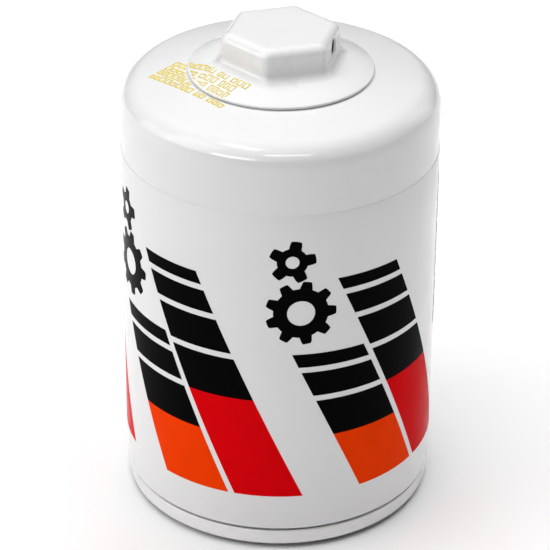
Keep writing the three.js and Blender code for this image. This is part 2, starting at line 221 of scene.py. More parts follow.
def bake_modifiers(obj):
    """Turns what an object's modifiers make into its own mesh."""
    bpy.context.view_layer.update()
    graph = bpy.context.evaluated_depsgraph_get()
    mesh = bpy.data.meshes.new_from_object(obj.evaluated_get(graph))
    obj.modifiers.clear()
    obj.data = mesh
    return obj


def cut(obj, cutters):
    """The object with every cutter taken out of it."""
    bpy.context.view_layer.update()
    tools = bpy.data.collections.new(obj.name + "_tools")
    for cutter in cutters:
        bpy.context.collection.objects.unlink(cutter)
        tools.objects.link(cutter)
    modifier = obj.modifiers.new("cut", "BOOLEAN")
    modifier.operation = "DIFFERENCE"
    modifier.solver = "EXACT"
    modifier.operand_type = "COLLECTION"
    modifier.collection = tools
    bake_modifiers(obj)
    for cutter in cutters:
        bpy.data.objects.remove(cutter)
    bpy.data.collections.remove(tools)
    obj.data.shade_smooth()
    obj.data.set_sharp_from_angle(angle=math.radians(SHARP))
    return obj


def drill(radius, length, flare=0.0, start=0.0, segments=40):
    """A round cutter along Z; flare widens its low end from a height called start."""
    outline = [(0, -length / 2), (radius + flare, -length / 2)]
    if flare:
        outline += [(radius + flare, start - flare), (radius, start)]
    outline += [(radius, length / 2), (0, length / 2)]
    return revolve("drill", outline, segments)


# ---------------------------------------------------------------- materials
class Surface:
    """A Principled material built up in steps, with its patterns in the object's own coordinates."""

    def __init__(self, name, colour, roughness, metallic=0.0, specular=0.5):
        self.material = bpy.data.materials.new(name)
        self.material.use_nodes = True
        self.tree = self.material.node_tree
        self.shader = self.tree.nodes["Principled BSDF"]
        self.shader.inputs["Base Color"].default_value = (*colour, 1)
        self.shader.inputs["Roughness"].default_value = roughness
        self.shader.inputs["Metallic"].default_value = metallic
        self.shader.inputs["Specular IOR Level"].default_value = specular
        self.place = self.tree.nodes.new("ShaderNodeTexCoord").outputs["Object"]
        self.normal = None

    def link(self, output, target):
        """Joins an output socket to an input socket."""
        self.tree.links.new(output, target)

    def math(self, operation, first, second=0.0):
        """The result of a Math node on two numbers or sockets."""
        node = self.tree.nodes.new("ShaderNodeMath")
        node.operation = operation
        for socket, value in zip(node.inputs, (first, second)):
            if isinstance(value, (int, float)):
                socket.default_value = value
            else:
                self.link(value, socket)
        return node.outputs[0]

    def stretched(self, x, y, z):
        """The object's coordinates, scaled along each axis."""
        node = self.tree.nodes.new("ShaderNodeMapping")
        node.inputs["Scale"].default_value = (x, y, z)
        self.link(self.place, node.inputs["Vector"])
        return node.outputs[0]

    def polar(self):
        """The distance from the Z axis, the angle round it and the height."""
        split = self.tree.nodes.new("ShaderNodeSeparateXYZ")
        self.link(self.place, split.inputs[0])
        x, y, z = split.outputs
        squares = self.math("ADD", self.math("POWER", x, 2), self.math("POWER", y, 2))
        return self.math("SQRT", squares), self.math("ARCTAN2", y, x), z

    def round_axis(self, radial, around, along):
        """Coordinates that run out from, round and along the Z axis, each scaled."""
        join = self.tree.nodes.new("ShaderNodeCombineXYZ")
        for socket, value, scale in zip(join.inputs, self.polar(), (radial, around, along)):
            self.link(self.math("MULTIPLY", value, scale), socket)
        return join.outputs[0]

    def noise(self, scale, detail=3.0, vector=None, roughness=0.5):
        """A noise level, in the object's coordinates unless others are given."""
        node = self.tree.nodes.new("ShaderNodeTexNoise")
        node.inputs["Scale"].default_value = scale
        node.inputs["Detail"].default_value = detail
        node.inputs["Roughness"].default_value = roughness
        self.link(vector or self.place, node.inputs["Vector"])
        return node.outputs["Fac"]

    def ramp(self, factor, low, high, first, last):
        """Two colours or levels, blended as the factor goes from low to high."""
        node = self.tree.nodes.new("ShaderNodeValToRGB")
        for element, position, value in zip(node.color_ramp.elements, (low, high), (first, last)):
            element.position = position
            element.color = (*value, 1) if hasattr(value, "__len__") else (value, value, value, 1)
        self.link(factor, node.inputs[0])
        return node.outputs[0]

    def mix(self, factor, first, second):
        """Two colours blended by a factor; each may be a number, a colour or a socket."""
        node = self.tree.nodes.new("ShaderNodeMix")
        node.data_type = "RGBA"
        for name, value in (("Factor", factor), ("A", first), ("B", second)):
            kind = "VALUE" if name == "Factor" else "RGBA"
            socket = next(s for s in node.inputs if s.name == name and s.type == kind)
            if hasattr(value, "is_linked"):
                self.link(value, socket)
            else:
                socket.default_value = value if name == "Factor" else (*value, 1)
        return next(s for s in node.outputs if s.type == "RGBA")

    def colour(self, output):
        """Sets what drives the base colour."""
        self.link(output, self.shader.inputs["Base Color"])

    def rough(self, factor, low, high):
        """Roughness that wanders between two levels."""
        self.link(self.ramp(factor, 0.3, 0.7, low, high), self.shader.inputs["Roughness"])

    def bump(self, height, depth):
        """Relief; depth is in millimetres. Later reliefs add to earlier ones."""
        node = self.tree.nodes.new("ShaderNodeBump")
        node.inputs["Strength"].default_value = 1.0
        node.inputs["Distance"].default_value = depth * MM
        self.link(height, node.inputs["Height"])
        if self.normal:
            self.link(self.normal, node.inputs["Normal"])
        self.normal = node.outputs[0]
        self.link(self.normal, self.shader.inputs["Normal"])


def darker(colour, share):
    """A colour with a share of its light taken away."""
    return [c * (1 - share) for c in colour]


def paint(name, colour, roughness=0.34, cavity=None):
    """Sprayed enamel: faint orange peel, uneven gloss and a few specks under the film.

    cavity is a radius and a height: the metal inside both is unpainted, and painted near-black as shade
    so that the wire holes look dark.
    """
    s = Surface(name, colour, roughness)
    shade = s.ramp(s.noise(45), 0.35, 0.65, darker(colour, 0.012), colour)
    if cavity:
        reach, top = cavity
        distance, _, height = s.polar()
        within = s.math("LESS_THAN", distance, reach * MM)
        below = s.math("LESS_THAN", height, top * MM)
        # Inside the cavity the colour is unpainted metal, painted near-black as shade so the wire holes
        # read dark.
        shade = s.mix(s.math("MULTIPLY", within, below), shade, BARE_METAL_PAINTED_SHADE)
    s.colour(shade)
    s.rough(s.noise(140), roughness - 0.05, roughness + 0.06)
    s.bump(s.noise(420, 2.0), 0.010)
    s.bump(s.ramp(s.noise(1100, 0.0), 0.79, 0.86, 0.0, 1.0), 0.02)
    s.shader.inputs["Coat Weight"].default_value = 1.0
    s.shader.inputs["Coat Roughness"].default_value = 0.03
    return s.material


def ink(name, colour, roughness=0.22):
    """Printed colour: dense and nearly flat, with a faint press mottle."""
    s = Surface(name, colour, roughness, specular=0.01)
    s.colour(s.ramp(s.noise(240, 4.0), 0.3, 0.7, darker(colour, 0.07), colour))
    s.rough(s.noise(140), roughness - 0.04, roughness + 0.05)
    s.bump(s.noise(420, 2.0), 0.010)
    return s.material


def rolled_steel(name, colour, roughness, grain=0.006, stain=0.12, metallic=0.9):
    """Sheet steel drawn and rolled round the axis, with fine lines and faint stains."""
    s = Surface(name, colour, roughness, metallic)
    lines = s.noise(1.0, 4.0, s.round_axis(5200, 9, 5200), 0.6)
    blotch = s.noise(170, 5.0)
    base = s.ramp(blotch, 0.3, 0.7, darker(colour, stain), colour)
    s.colour(s.mix(s.ramp(lines, 0.35, 0.7, 0.0, 0.35), base, darker(colour, 0.2)))
    s.rough(s.noise(300, 4.0), roughness - 0.07, roughness + 0.1)
    s.bump(lines, grain)
    s.bump(s.noise(900, 3.0), 0.004)
    return s.material


def rubber(name, colour, roughness):
    """Moulded rubber: a dusty bloom, fine marks round the axis and a matt grain."""
    s = Surface(name, colour, roughness, specular=0.4)
    bloom = [min(1, c * 1.5 + 0.006) for c in colour]
    s.colour(s.ramp(s.noise(220, 5.0), 0.3, 0.75, colour, bloom))
    s.rough(s.noise(400, 4.0), roughness - 0.08, roughness + 0.1)
    s.bump(s.noise(1.0, 3.0, s.round_axis(3800, 6, 3800)), 0.006)
    s.bump(s.noise(2600, 3.0), 0.006)
    return s.material


def filter_paper():
    """Resin-treated cellulose: fibres, dimples and warm blotches."""
    s = Surface("filter_paper", (0.62, 0.44, 0.2), 0.85, specular=0.25)
    fibres = s.noise(1.0, 5.0, s.stretched(2600, 2600, 700), 0.7)
    tone = s.ramp(s.noise(90, 4.0), 0.3, 0.7, (0.56, 0.38, 0.16), (0.7, 0.52, 0.26))
    s.colour(s.mix(s.ramp(fibres, 0.45, 0.75, 0.0, 0.5), tone, (0.42, 0.27, 0.1)))
    s.rough(fibres, 0.75, 0.95)
    s.bump(fibres, 0.04)
    s.shader.inputs["Subsurface Weight"].default_value = 0.05
    return s.material


def cured_adhesive():
    """Red potting compound, poured and cured, with a slightly uneven skin."""
    s = Surface("plastisol", (0.46, 0.05, 0.03), 0.4)
    s.colour(s.ramp(s.noise(130, 4.0), 0.3, 0.7, (0.38, 0.035, 0.02), (0.5, 0.065, 0.04)))
    s.rough(s.noise(200, 3.0), 0.32, 0.5)
    s.bump(s.noise(260, 3.0), 0.06)
    return s.material


CAN_WHITE = (0.825, 0.826, 0.829)
# The nut wears the same white enamel as the can; its white is set lighter as painted light, so the nut
# reads brighter.
NUT_WHITE_PAINTED_LIGHTER = (0.85, 0.851, 0.854)
# Near-black for the nut's unpainted inside: darker than bare steel, as painted shade inside the cap.
BARE_METAL_PAINTED_SHADE = (0.05, 0.05, 0.05)
NUT_CAVITY = (12.3, NUT_TOP - 1.6)
MATERIALS = {
    "can": paint("can_enamel", CAN_WHITE),
    "nut": paint("nut_enamel", NUT_WHITE_PAINTED_LIGHTER, 0.3, NUT_CAVITY),
    "orange": ink("orange_ink", (1.0, 0.052, 0.0003)),
    "red": ink("red_ink", (0.80, 0.0008, 0.004)),
    "black": ink("black_ink", (0.002, 0.002, 0.002)),
    "grey": ink("grey_ink", (0.10, 0.10, 0.10)),
    "yellow": ink("yellow_ink", (0.70, 0.55, 0.004), 0.4),
    "seam": rolled_steel("seam_steel", (0.92, 0.92, 0.915), 0.45, 0.005, 0.06, metallic=0.4),
    "plate": rolled_steel("plate_steel", (0.46, 0.455, 0.44), 0.42, 0.01, 0.3),
    "tinplate": rolled_steel("tinplate", (0.66, 0.66, 0.64), 0.28),
    "zinc": rolled_steel("zinc_steel", (0.6, 0.6, 0.54), 0.36, 0.004, 0.2),
    "spring": rolled_steel("spring_steel", (0.26, 0.26, 0.27), 0.3, 0.003),
    "nitrile": rubber("nitrile", (0.012, 0.012, 0.013), 0.42),
    "silicone": rubber("silicone", (0.42, 0.085, 0.025), 0.5),
    "paper": filter_paper(),
    "plastisol": cured_adhesive(),
}


def dress(obj, material, slot, body, *replaced):
    """Gives a piece its material, puts it on its body and hides the CAD nodes it replaces; slot is not
    used.
    """
    obj.data.materials.clear()
    obj.data.materials.append(MATERIALS[material])
    if body:
        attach(obj, body)
    if replaced:
        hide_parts(*replaced)
    return obj


# ---------------------------------------------------------------- can
def crown(inset):
    """The can's dome and shoulder, from the axis out to the wall."""
    shoulder_r = CAN_RADIUS - SHOULDER_RADIUS
    dome_z = CAN_TOP - DOME_RADIUS
    reach = DOME_RADIUS - SHOULDER_RADIUS
    shoulder_z = dome_z + math.sqrt(reach ** 2 - shoulder_r ** 2)
    tangent = math.asin(shoulder_r / reach)
    dome = arc(0, dome_z, DOME_RADIUS - inset, 0, tangent, 10)
    dome[0] = (0, dome[0][1])
    return dome + arc(shoulder_r, shoulder_z, SHOULDER_RADIUS - inset, tangent, math.pi / 2, 20)[1:]


FOLD_R = SEAM_RADIUS - SHEET - GAP - CAN_WALL / 2  # middle of the rolled seam
FOLD_RADIUS = SEAM_RADIUS - FOLD_R
FOLD_Z = SEAM_BOTTOM + FOLD_RADIUS
SEAM_TOP = 5.4
COAT_STEP = 0.14  # how proud the printed coat stands of the base coat


def can():
    """The drawn can: dome, shoulder, printed wall, and the neck that the seam is rolled round."""
    wall = CAN_RADIUS
    base_coat = wall - COAT_STEP
    outer = [(r - COAT_STEP if z > PRINT_TOP and r > wall - 0.5 else r, z) for r, z in crown(0)]
    print_edge = [
        (base_coat, PRINT_TOP + 0.05), (wall - COAT_STEP / 3, PRINT_TOP), (wall, PRINT_TOP - 0.1),
    ]
    bands = [(wall, z) for z in (80, 60, 40, 20)]
    neck_r = FOLD_R + CAN_WALL / 2
    far_in = 20  # closes the outline where the corners are rounded, and is left out after
    neck = rounded([
        (wall, 40), (wall, 6.5, 0.75), (neck_r + 0.5, 5.95, 0.5), (neck_r, SEAM_TOP, 0.5),
        (neck_r, FOLD_Z), (far_in, FOLD_Z), (far_in, 40),
    ], 4)[1:-3]
    end = FOLD_Z + GAP
    inner_r = neck_r - CAN_WALL
    inner = [(neck_r, end), (inner_r, end), (inner_r, SEAM_TOP), (wall - CAN_WALL, 8)]
    return revolve("can_shell", outer + print_edge + bands + neck + inner + crown(CAN_WALL)[::-1])


def lid():
    """Sheet lid: gasket groove, folded ridge and the rolled edge that shows under the can."""
    under = LID_TOP - SHEET
    bore = 26.5
    groove_r = FOLD_R - FOLD_RADIUS
    ridge_out = 30.1
    ridge_in = ridge_out - 2 * SHEET
    ridge_z = 1.9
    quarter = math.pi / 2
    outline = rounded([
        (bore, under, 0.2), (ridge_in, under, 0.4), (ridge_in, ridge_z, 0.55),
        (ridge_out, ridge_z, 0.55), (ridge_out, under, 0.4), (groove_r, under, 0.4),
        *arc(FOLD_R, FOLD_Z, FOLD_RADIUS, 3 * quarter, quarter, 16),
        (SEAM_RADIUS, SEAM_TOP, 0.28), (SEAM_RADIUS - SHEET, SEAM_TOP, 0.28),
        *arc(FOLD_R, FOLD_Z, FOLD_RADIUS - SHEET, quarter, 3 * quarter, 8),
        (groove_r + SHEET, LID_TOP, 0.5), (bore, LID_TOP, 0.2),
    ])
    return revolve("rolled_lid", outline)


def gasket():
    """Moulded ring with rounded edges and a shallow sealing groove."""
    inner = 30.4
    outer = GASKET_RADIUS
    middle = (inner + outer) / 2
    groove_edge, groove_floor, groove_depth = 0.9, 0.6, 0.22
    return revolve("gasket_ring", rounded([
        (inner, 0, 0.7), (middle - groove_edge, 0, 0.2), (middle - groove_floor, groove_depth, 0.2),
        (middle + groove_floor, groove_depth, 0.2), (middle + groove_edge, 0, 0.2), (outer, 0, 0.7),
        (outer, GASKET_TOP, 0.3), (inner, GASKET_TOP, 0.3),
    ]))


MOUTH_FLARE = 0.95  # the chamfer where the stud enters
HUB_FLARE = 0.6  # the chamfer at the hub's inner end


def thread_reach(z):
    """The threaded bore's radius at a height, as a function of the angle."""
    flare = max(0.0, PLATE_BOTTOM + MOUTH_FLARE - z, z - HUB_TOP + HUB_FLARE)

    def reach(angle):
        phase = (z / THREAD_PITCH - angle / TURN) % 1
        groove = min(1.0, max(0.0, 1.2 * (1 - abs(2 * phase - 1)) - 0.1))
        return BORE_RADIUS + max(THREAD_DEPTH * groove, flare)

    return reach


def plate():
    """Pressed plate with a threaded hub and a ring of inlet holes."""
    top = PLATE_BOTTOM + PLATE_THICKNESS
    bevel = 1.4
    outer = rounded([
        (BORE_RADIUS + MOUTH_FLARE, PLATE_BOTTOM), (PLATE_RADIUS - bevel, PLATE_BOTTOM, 0.5),
        (PLATE_RADIUS, PLATE_BOTTOM + bevel, 0.5), (PLATE_RADIUS, top, 0.3), (HUB_RADIUS, top, 0.9),
        (HUB_RADIUS, HUB_TOP, 0.35), (BORE_RADIUS + HUB_FLARE, HUB_TOP),
    ])
    steps = 110
    heights = [HUB_TOP + (PLATE_BOTTOM - HUB_TOP) * i / steps for i in range(1, steps)]
    bore = [(thread_reach(z), z) for z in heights]
    blank = revolve("threaded_plate", outer + bore, COARSE)
    chamfer = 0.4
    holes = []
    for i in range(INLET_COUNT):
        hole = drill(INLET_RADIUS, 12, chamfer, chamfer)
        turn = Matrix.Rotation(TURN * i / INLET_COUNT, 4, "Z")
        hole.matrix_world = turn @ Matrix.Translation((INLET_CIRCLE * MM, 0, PLATE_BOTTOM * MM))
        holes.append(hole)
    return cut(blank, holes)


def nut():
    """Pressed hexagonal cap on a round flange, drilled for a lock wire."""
    def hexagon(z, offset):
        return (lambda angle: hex_reach(angle, offset), z)

    def under(radius):
        return dome_height(radius) + GAP

    def quarter_turn(steps):
        return [math.pi / 2 * i / steps for i in range(steps + 1)]

    top = [hexagon(NUT_TOP, -NUT_EDGE - inset) for inset in (7, 4, 1.5)]
    edge = [hexagon(NUT_TOP - NUT_EDGE * (1 - math.cos(a)), NUT_EDGE * (math.sin(a) - 1))
            for a in quarter_turn(10)]
    root = [hexagon(FLANGE_ROOT_TOP + NUT_FILLET * (1 - math.sin(a)), NUT_FILLET * (1 - math.cos(a)))
            for a in quarter_turn(12)]
    rim_top, rim_under = 20, 18
    rim = rounded([
        (rim_top, flange_height(rim_top)), (FLANGE_RADIUS, FLANGE_EDGE_TOP, 0.25),
        (FLANGE_RADIUS, under(FLANGE_RADIUS), 0.12), (rim_under, under(rim_under)),
    ])[1:-1]
    inside = [
        hexagon(under(13), 1.2), hexagon(FLANGE_ROOT_TOP + 0.6, -NUT_WALL / 2),
        hexagon(FLANGE_ROOT_TOP + 1.6, -NUT_WALL), hexagon(NUT_TOP - 2 * NUT_WALL, -NUT_WALL),
        hexagon(NUT_TOP - 1.2 * NUT_WALL, -1.4 * NUT_WALL), hexagon(NUT_TOP - NUT_WALL, -2.2 * NUT_WALL),
    ]
    outline = [(0, NUT_TOP)] + top + edge + root + rim + inside + [(0, NUT_TOP - NUT_WALL)]
    blank = revolve("wrench_cap", outline, 240)
    middle = 6.5  # a bit's own middle, off the axis, so that it goes through one face only
    flare = 0.5
    lie_down = Matrix.Rotation(math.pi, 4, "Z") @ Matrix.Rotation(math.pi / 2, 4, "Y")
    holes = []
    for side in (0, math.pi):
        bit = drill(WIRE_HOLE_RADIUS, 26, flare, middle + 0.35 - HEX_ACROSS_FLATS / 2)
        turn = Matrix.Rotation(HEX_CORNER_ANGLE - math.pi / 6 + side, 4, "Z")
        bit.matrix_world = turn @ Matrix.Translation((middle * MM, 0, WIRE_HOLE_Z * MM)) @ lie_down
        holes.append(bit)
    return cut(blank, holes)


# ---------------------------------------------------------------- printed design
INK_PROUD = 0.03
INK_SUNK = 0.06
PRINT_BOTTOM = 15.9
SLANT = 0.668  # degrees round the can for each millimetre of height
GROUPS = (-76.4, 0.0, 76.4)  # degrees between the repeats of the design
LEFT_BAR = (-45.0, -18.1)  # degrees from the front, at the foot of the print
RIGHT_BAR = (-15.8, 9.2)
LEFT_ORANGE_TOP = 32.5
RIGHT_RED_TOP = 42.9
STRIPE_GAP = 1.5


def film(bm, place, columns, rows, closed=False):
    """One closed film of ink on the can's wall.

    place(s, t) gives a point's angle from the front, in degrees, and its height.
    """
    layers = []
    for radius in (CAN_RADIUS + INK_PROUD, CAN_RADIUS - INK_SUNK):
        layer = []
        for i in range(columns if closed else columns + 1):
            column = []
            for j in range(rows + 1):
                degrees, z = place(i / columns, j / rows)
                angle = math.radians(degrees - 90)
                point = (radius * math.cos(angle), radius * math.sin(angle), z)
                column.append(bm.verts.new(Vector(point) * MM))
            layer.append(column)
        layers.append(layer)
    outer, inner = layers
    for i in range(columns):
        k = (i + 1) % len(outer)
        for j in range(rows):
            bm.faces.new((outer[i][j], outer[k][j], outer[k][j + 1], outer[i][j + 1]))
            bm.faces.new((inner[i][j + 1], inner[k][j + 1], inner[k][j], inner[i][j]))
        bm.faces.new((outer[k][0], outer[i][0], inner[i][0], inner[k][0]))
        bm.faces.new((outer[i][rows], outer[k][rows], inner[k][rows], inner[i][rows]))
    if closed:
        return
    for j in range(rows):
        bm.faces.new((outer[0][j], outer[0][j + 1], inner[0][j + 1], inner[0][j]))
        bm.faces.new((outer[-1][j + 1], outer[-1][j], inner[-1][j], inner[-1][j + 1]))


def bar(bm, edges, bottom, top):
    """A slanted bar between two edges, in every repeat of the design."""
    for group in GROUPS:
        def place(s, t):
            z = bottom + (top - bottom) * t
            return group + edges[0] + (edges[1] - edges[0]) * s - SLANT * (z - PRINT_BOTTOM), z

        film(bm, place, 16, max(2, round((top - bottom) / 2)))


def bar_stack(bm, edges, bottom, heights):
    """Slanted bars one above another, with plain gaps between them."""
    for height in heights:
        bar(bm, edges, bottom, bottom + height)
        bottom += height + STRIPE_GAP


def cog(bm, centre, z, teeth, pitch_r, hole, phase=0.0):
    """A plain cog wheel, in every repeat of the design; its centre is degrees from the front."""
    depth = 0.95

    def edge(angle):
        wave = math.cos(teeth * (angle - phase))
        return pitch_r + depth * min(1.0, max(-1.0, 2.2 * wave))

    for group in GROUPS:
        def place(s, t):
            angle = TURN * s
            reach = hole + (edge(angle) - hole) * t
            degrees = math.degrees(reach * math.cos(angle) / CAN_RADIUS)
            return group + centre + degrees, z + reach * math.sin(angle)

        film(bm, place, 32 * teeth, 4, closed=True)


def orange_print(bm):
    """The orange foot of every left bar."""
    bar(bm, LEFT_BAR, PRINT_BOTTOM, LEFT_ORANGE_TOP)


def red_print(bm):
    """The red foot of every right bar."""
    bar(bm, RIGHT_BAR, PRINT_BOTTOM, RIGHT_RED_TOP)


def black_print(bm):
    """The bars' black tops, in stripes that get thinner upwards, and two meshing cogs."""
    bar_stack(bm, LEFT_BAR, LEFT_ORANGE_TOP, (10.1, 6.6, 3.6))
    bar_stack(bm, RIGHT_BAR, RIGHT_RED_TOP, (10.7, 8.4, 5.6, 3.2))
    cog(bm, -68.6, 67.0, 9, 7.5, 3.3)
    cog(bm, -71.8, 80.6, 5, 4.6, 1.6, math.radians(80))


def fine_print(bm):
    """Rows of short plain dashes in place of the small print, running up the can."""
    top, bottom = 86.5, 46
    first, pitch, width = 82, 3.9, 1.5  # degrees round the can
    gap = 0.8
    chance = random.Random(5)
    for line in range(9):
        degrees = first + pitch * line
        z = top
        while z > bottom:
            length = chance.uniform(1.6, 4.2)

            def place(s, t):
                return degrees + width * s, z - length * (1 - t)

            film(bm, place, 2, 2)
            z -= length + gap


def top_height(spot):
    """Height of the flange or, past its rim, of the dome, under a point."""
    if spot.length > FLANGE_RADIUS:
        return dome_height(spot.length)
    return flange_height(spot.length, math.atan2(spot.y, spot.x))


def dot(bm, spot):
    """A raised drop of ink on the flange or the dome; none sits across the flange's rim."""
    radius, sides, clear_of_rim = 0.24, 6, 0.45
    if abs(spot.length - FLANGE_RADIUS) < clear_of_rim:
        return
    z = top_height(spot)
    rings = []
    for lift, spread in ((-0.05, 1.0), (0.03, 1.0), (0.05, 0.6)):
        loop = []
        for i in range(sides):
            angle = TURN * i / sides
            x = spot.x + radius * spread * math.cos(angle)
            y = spot.y + radius * spread * math.sin(angle)
            loop.append(bm.verts.new(Vector((x, y, z + lift)) * MM))
        rings.append(loop)
    bridge(bm, rings[0], rings[1])
    bridge(bm, rings[1], rings[2])
    bm.faces.new(rings[0][::-1])
    bm.faces.new(rings[2])


def date_dots(bm):
    """Four rows of empty dotted boxes across the flange and the dome, in place of a date code."""
    corner = Vector((-24.4, 4.0))
    heading = math.radians(-46)
    along = Vector((math.cos(heading), math.sin(heading)))
    down = Vector((along.y, -along.x))
    pitch, row_pitch, box_gap, group_gap = 0.42, 2.42, 0.7, 0.9
    chance = random.Random(11)
    for row, groups in enumerate(((8, 2, 3), (6, 3, 3), (7, 2, 4), (8, 2, 3))):
        across = 0.0
        for boxes in groups:
            for _ in range(boxes):
                columns = chance.choice((3, 4, 4))
                height = chance.choice((4, 5, 5))
                for i in range(columns):
                    for j in range(height):
                        if i in (0, columns - 1) or j in (0, height - 1):
                            drop = row_pitch * row - (j - 4) * pitch
                            dot(bm, corner + along * (across + i * pitch) + down * drop)
                across += (columns - 1) * pitch + box_gap
            across += group_gap


def print_piece(name, material, slot, draw):
    """One colour of the print, as one piece on the shell."""
    bm = bmesh.new()
    draw(bm)
    return dress(finish_mesh(name, bm), material, slot, "shell")


# ---------------------------------------------------------------- inside
SKIRT_ROOT = 13.3  # where the drain-back valve's skirt leaves its hub


def membrane():
    """The drain-back valve in one piece: thick hub, thin skirt with a rounded lip."""
    seat = PLATE_BOTTOM + PLATE_THICKNESS + GAP
    top = ELEMENT_BOTTOM - GAP
    bore = 10.2
    hub_bore = HUB_RADIUS + GAP
    ledge = HUB_TOP + GAP
    hub_out, lip_in, lip = 15.4, 25.4, 27.2
    return revolve("drain_back_membrane", rounded([
        (bore, top, 0.4), (bore, ledge, 0.3), (hub_bore, ledge, 0.2), (hub_bore, SKIRT_ROOT, 0.3),
        (hub_out + 0.3, 13.2, 0.8), (lip_in, seat + 0.1, 1.5), (lip, seat, 0.35),
        (lip, seat + 0.9, 0.35), (lip_in + 0.8, seat + 1.1, 1.2), (hub_out + 0.3, 14.5, 0.8),
        (hub_out, 15.4, 0.3), (hub_out, top, 0.4),
    ], 4), COARSE)


def end_cap(name, face, up, collar_r):
    """A shallow pressed cup with a turned-in collar; up is 1 for a cup that opens upwards."""
    sheet = 0.5
    ledge = face + up * sheet
    edge = face + up * 4.4
    rim_in = ELEMENT_RADIUS - sheet
    collar_out = collar_r + sheet
    dip, dip_in, dip_out, slope = 0.25, 16.6, 31.2, 0.8  # the shallow channel pressed into the face
    channel = face + up * dip
    channel_back = ledge + up * 0.15
    return revolve(name, rounded([
        (collar_r, face, 0.7), (dip_in, face, 0.3), (dip_in + slope, channel, 0.3),
        (dip_out - slope, channel, 0.3), (dip_out, face, 0.3), (ELEMENT_RADIUS, face, 0.7),
        (ELEMENT_RADIUS, edge, 0.2), (rim_in, edge, 0.2), (rim_in, ledge, 0.3), (dip_out, ledge),
        (dip_out - slope, channel_back), (dip_in + slope, channel_back), (dip_in, ledge),
        (collar_out, ledge, 0.3), (collar_out, edge, 0.2), (collar_r, edge, 0.2),
    ], 3), COARSE)


def washer(name, inner, outer, bottom, top, edge):
    """A ring of square section with rounded edges."""
    corners = [(inner, bottom, edge), (outer, bottom, edge), (outer, top, edge), (inner, top, edge)]
    return revolve(name, rounded(corners, 4), COARSE)


def washer_in(name, node, inner, edge):
    """A washer that fills a ring-shaped node, with its own bore."""
    low, high = mm_box(node)
    return washer(name, inner, high[0], low[2], high[2], edge)


def pleats():
    """Folded paper with rounded folds: one closed band, swept straight up."""
    low, high = mm_box("pleated_media")
    count, outer, inner, paper = 48, 31.8, 14.6, 0.42
    fold_out, fold_in = 0.75, 0.46
    line = []
    for i in range(count):
        outward = TURN * i / count
        inward = outward + math.pi / count
        for fold, centre_r, angle, side in (
            (fold_out, outer - fold_out - paper / 2, outward, 1),
            (fold_in, inner + fold_in + paper / 2, inward, -1),
        ):
            axis = Vector((math.cos(angle), math.sin(angle)))
            across = Vector((-axis.y, axis.x))
            for k in range(7):
                swing = -math.pi / 2 + math.pi * k / 6
                out = centre_r + side * fold * math.cos(swing)
                line.append(axis * out + across * fold * math.sin(swing))
    outside = []
    inside = []
    for i, point in enumerate(line):
        tangent = (line[(i + 1) % len(line)] - line[i - 1]).normalized()
        normal = Vector((tangent.y, -tangent.x)) * paper / 2
        outside.append(point + normal)
        inside.append(point - normal)
    heights = [low[2] + (high[2] - low[2]) * k / 6 for k in range(7)]
    loops = [(outside, z) for z in heights] + [(inside, z) for z in reversed(heights)]
    bm = bmesh.new()
    rings = [[bm.verts.new(Vector((p.x, p.y, z)) * MM) for p in loop] for loop, z in loops]
    for lower, upper in zip(rings, rings[1:] + rings[:1]):
        bridge(bm, lower, upper)
    return finish_mesh("pleated_paper", bm, SOFT_SHARP)


def punched_tube():
    """The element's core: a thin tube with staggered rows of round holes."""
    radius = mm_box("center_tube")[1][0]
    blank = washer_in("punched_tube", "center_tube", radius - 0.5, 0.12)
    paper_low, paper_high = mm_box("pleated_media")
    rows = columns = 6
    pitch = (paper_high[2] - paper_low[2]) / rows
    lie_down = Matrix.Rotation(math.pi / 2, 4, "Y")
    holes = []
    for row in range(rows):
        for column in range(columns):
            angle = (column + (row % 2) / 2 + 0.25) * TURN / columns
            z = paper_low[2] + (row + 0.5) * pitch
            hole = drill(2.4, 4, segments=24)
            out = Matrix.Translation((radius * MM, 0, z * MM))
            hole.matrix_world = Matrix.Rotation(angle, 4, "Z") @ out @ lie_down
            holes.append(hole)
    return cut(blank, holes)


def cage():
    """Pressed cup with four windows, which holds the bypass spring."""
    low, high = mm_box("bypass_cage")
    radius = high[0]
    inner = radius - SHEET
    guide = 2.0  # the hole that the poppet's stem slides in
    floor_z = low[2] + SHEET
    blank = revolve("spring_cage", rounded([
        (guide, low[2], 0.15), (radius, low[2], 1.2), (radius, high[2], 0.2), (inner, high[2], 0.2),
        (inner, floor_z, 0.6), (guide, floor_z, 0.15),
    ]), COARSE)
    window_width, window_height, window_middle = 7, 8, 6
    slots = []
    for angle in (0, math.pi / 2):
        bm = bmesh.new()
        bmesh.ops.create_cube(bm, size=1)
        slot = finish_mesh("slot", bm)
        slot.scale = (32 * MM, window_width * MM, window_height * MM)
        slot.rotation_euler.z = angle
        slot.location.z = (floor_z + window_middle) * MM
        slots.append(slot)
    return cut(blank, slots)


def coil(name, node, wire, turns):
    """A coil spring of round wire with closed ends, in the space its node holds."""
    low, high = mm_box(node)
    radius = high[0] - wire
    bottom, top = low[2] + wire, high[2] - wire
    steps = round(turns * 40)
    sides = 12
    flat = 0.7  # turns that lie flat at each end
    bm = bmesh.new()
    rings = []
    for i in range(steps + 1):
        turn = turns * i / steps
        share = min(1.0, max(0.0, (turn - flat) / (turns - 2 * flat)))
        climb = share * share * (3 - 2 * share) * 0.35 + share * 0.65
        out = Vector((math.cos(TURN * turn), math.sin(TURN * turn), 0))
        centre = out * radius + Vector((0, 0, bottom + (top - bottom) * climb))
        section = []
        for k in range(sides):
            swing = TURN * k / sides
            point = centre + out * wire * math.cos(swing) + Vector((0, 0, wire * math.sin(swing)))
            section.append(bm.verts.new(point * MM))
        rings.append(section)
    for lower, upper in zip(rings, rings[1:]):
        bridge(bm, lower, upper)
    bm.faces.new(rings[0])
    bm.faces.new(rings[-1][::-1])
    return finish_mesh(name, bm, SOFT_SHARP)


